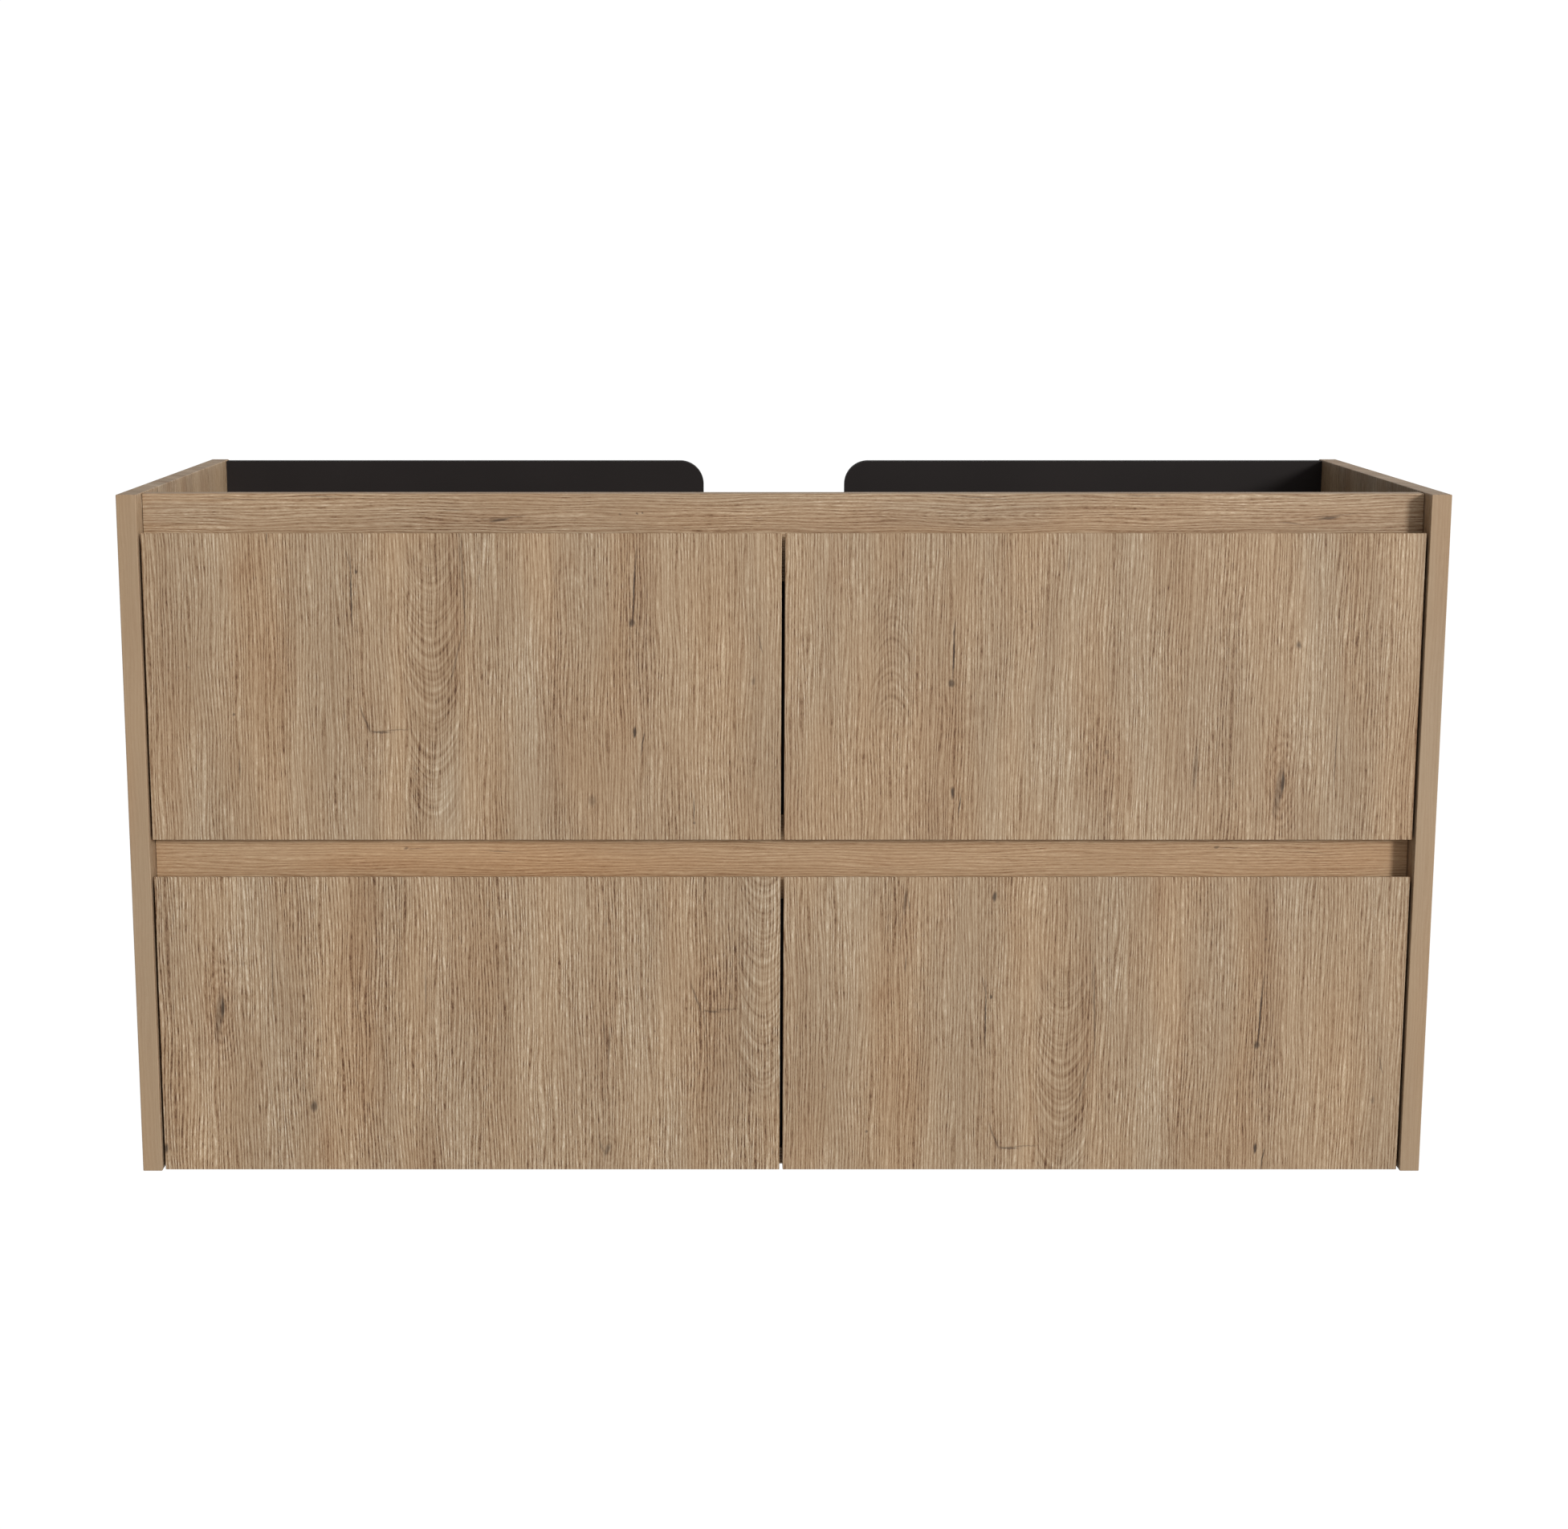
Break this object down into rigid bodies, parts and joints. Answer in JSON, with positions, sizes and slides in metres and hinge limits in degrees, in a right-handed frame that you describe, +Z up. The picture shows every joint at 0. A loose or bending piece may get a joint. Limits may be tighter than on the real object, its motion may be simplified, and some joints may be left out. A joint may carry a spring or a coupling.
{
  "type": "bathroom vanity cabinet",
  "caption": "Wall-hung handleless vanity base cabinet in light oak decor, with inset drawers, recessed grip rails, an open top and a notched dark back panel.",
  "frame": {"origin": "middle of the footprint, on the cabinet's underside", "axes": "+X to the right seen from the front, +Y towards the wall, +Z up"},
  "size_m": [1.2, 0.46, 0.635],
  "materials": {
    "oak_board": "melamine-faced board, light oak decor with embossed grain, matt",
    "black_board": "melamine-faced board, matt near-black",
    "drawer_board": "melamine-faced board, grey linen decor",
    "drawer_steel": "fine powder coat, anthracite",
    "zinc_steel": "bright zinc plated sheet steel",
    "cap_plastic": "fine matt moulded plastic, light grey"
  },
  "bodies": {
    "carcass": {"side_panel_left": "oak_board", "side_panel_right": "oak_board", "bottom_panel": "oak_board", "top_grip_rail": "oak_board", "middle_grip_rail": "oak_board", "back_panel": "black_board", "centre_partition": "black_board", "wall_hanger_left": "zinc_steel", "hanger_cap_left": "cap_plastic", "wall_hanger_right": "zinc_steel", "hanger_cap_right": "cap_plastic", "upper_left_runner_cabinet_left": "zinc_steel", "upper_left_runner_cabinet_right": "zinc_steel", "upper_right_runner_cabinet_left": "zinc_steel", "upper_right_runner_cabinet_right": "zinc_steel", "lower_left_runner_cabinet_left": "zinc_steel", "lower_left_runner_cabinet_right": "zinc_steel", "lower_right_runner_cabinet_left": "zinc_steel", "lower_right_runner_cabinet_right": "zinc_steel"},
    "upper_left_drawer": {"upper_left_drawer_front": "oak_board", "upper_left_drawer_side_left": "drawer_steel", "upper_left_drawer_side_right": "drawer_steel", "upper_left_drawer_back": "drawer_board", "upper_left_drawer_bottom": "drawer_board", "upper_left_runner_drawer_left": "zinc_steel", "upper_left_runner_drawer_right": "zinc_steel"},
    "upper_left_runner_middles": {"upper_left_runner_middle_left": "zinc_steel", "upper_left_runner_middle_right": "zinc_steel"},
    "upper_right_drawer": {"upper_right_drawer_front": "oak_board", "upper_right_drawer_side_left": "drawer_steel", "upper_right_drawer_side_right": "drawer_steel", "upper_right_drawer_back": "drawer_board", "upper_right_drawer_bottom": "drawer_board", "upper_right_runner_drawer_left": "zinc_steel", "upper_right_runner_drawer_right": "zinc_steel"},
    "upper_right_runner_middles": {"upper_right_runner_middle_left": "zinc_steel", "upper_right_runner_middle_right": "zinc_steel"},
    "lower_left_drawer": {"lower_left_drawer_front": "oak_board", "lower_left_drawer_side_left": "drawer_steel", "lower_left_drawer_side_right": "drawer_steel", "lower_left_drawer_back": "drawer_board", "lower_left_drawer_bottom": "drawer_board", "lower_left_runner_drawer_left": "zinc_steel", "lower_left_runner_drawer_right": "zinc_steel"},
    "lower_left_runner_middles": {"lower_left_runner_middle_left": "zinc_steel", "lower_left_runner_middle_right": "zinc_steel"},
    "lower_right_drawer": {"lower_right_drawer_front": "oak_board", "lower_right_drawer_side_left": "drawer_steel", "lower_right_drawer_side_right": "drawer_steel", "lower_right_drawer_back": "drawer_board", "lower_right_drawer_bottom": "drawer_board", "lower_right_runner_drawer_left": "zinc_steel", "lower_right_runner_drawer_right": "zinc_steel"},
    "lower_right_runner_middles": {"lower_right_runner_middle_left": "zinc_steel", "lower_right_runner_middle_right": "zinc_steel"}
  },
  "joints": [
    {"name": "upper_left_drawer_slide", "type": "slide", "parent": "carcass", "child": "upper_left_drawer", "axis": [0, -1, 0], "range_m": [0, 0.33]},
    {"name": "upper_left_runner_slide", "type": "slide", "parent": "carcass", "child": "upper_left_runner_middles", "axis": [0, -1, 0], "range_m": [0, 0.17]},
    {"name": "upper_right_drawer_slide", "type": "slide", "parent": "carcass", "child": "upper_right_drawer", "axis": [0, -1, 0], "range_m": [0, 0.33]},
    {"name": "upper_right_runner_slide", "type": "slide", "parent": "carcass", "child": "upper_right_runner_middles", "axis": [0, -1, 0], "range_m": [0, 0.17]},
    {"name": "lower_left_drawer_slide", "type": "slide", "parent": "carcass", "child": "lower_left_drawer", "axis": [0, -1, 0], "range_m": [0, 0.33]},
    {"name": "lower_left_runner_slide", "type": "slide", "parent": "carcass", "child": "lower_left_runner_middles", "axis": [0, -1, 0], "range_m": [0, 0.17]},
    {"name": "lower_right_drawer_slide", "type": "slide", "parent": "carcass", "child": "lower_right_drawer", "axis": [0, -1, 0], "range_m": [0, 0.33]},
    {"name": "lower_right_runner_slide", "type": "slide", "parent": "carcass", "child": "lower_right_runner_middles", "axis": [0, -1, 0], "range_m": [0, 0.17]}
  ],
  "couplings": [
    {"joint": "upper_left_runner_slide", "follows": "upper_left_drawer_slide", "ratio": 0.5},
    {"joint": "upper_right_runner_slide", "follows": "upper_right_drawer_slide", "ratio": 0.5},
    {"joint": "lower_left_runner_slide", "follows": "lower_left_drawer_slide", "ratio": 0.5},
    {"joint": "lower_right_runner_slide", "follows": "lower_right_drawer_slide", "ratio": 0.5}
  ]
}
